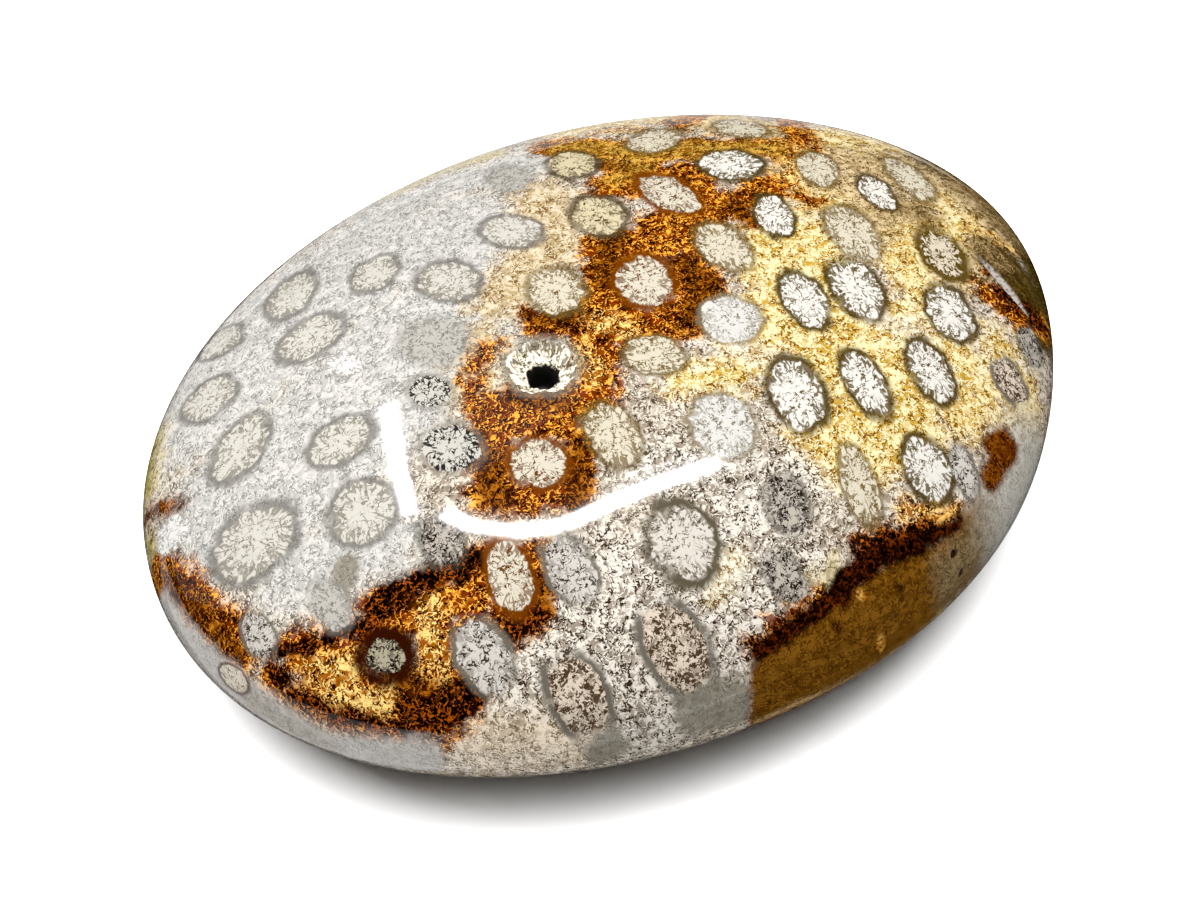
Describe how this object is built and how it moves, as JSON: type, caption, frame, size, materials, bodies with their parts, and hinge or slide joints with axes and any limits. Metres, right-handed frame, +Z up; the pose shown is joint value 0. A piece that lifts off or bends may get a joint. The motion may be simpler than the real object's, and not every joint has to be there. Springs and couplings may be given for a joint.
{
  "type": "polished fossil coral palm stone",
  "caption": "Oval domed palm stone of polished fossil coral, with pale star-shaped coral cups in a tan, rust and grey matrix, resting on a small flat underside.",
  "frame": {"origin": "on the surface that the stone rests on, under the middle of its outline", "axes": "+X along the stone's length towards its narrower end, +Y across its width, +Z up through the dome"},
  "size_m": [0.0686, 0.055, 0.0207],
  "materials": {
    "fossil_coral": "glossy polished, cream coral cups in a tan, rust and grey matrix"
  },
  "bodies": {
    "root": {"stone": "fossil_coral"}
  },
  "joints": []
}
